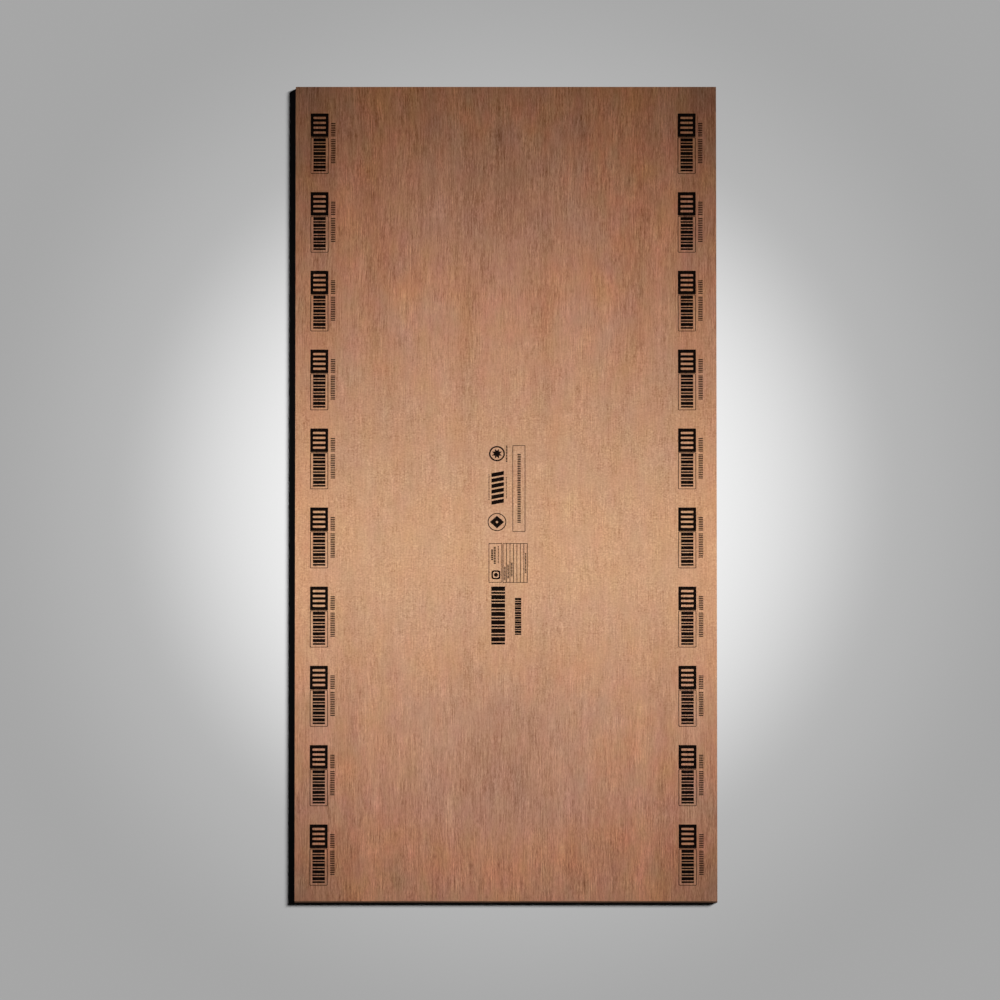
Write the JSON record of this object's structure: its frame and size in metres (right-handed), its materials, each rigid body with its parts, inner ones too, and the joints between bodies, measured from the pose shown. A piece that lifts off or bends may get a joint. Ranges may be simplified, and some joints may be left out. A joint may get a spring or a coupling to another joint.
{
  "type": "plywood sheet",
  "caption": "Full rectangular plywood sheet lying flat, with square trimmed edges, sanded faces and plain ink marks on the upper face.",
  "frame": {"origin": "centre of the back face, which is the face the sheet lies on", "axes": "+Y along the length and the face grain, +X across the width, +Z through the thickness, out of the marked face"},
  "size_m": [1.22, 2.44, 0.019],
  "materials": {
    "plywood": "matte",
    "stamp_ink": "matte"
  },
  "bodies": {
    "root": {"plywood_sheet": "plywood"}
  },
  "joints": []
}
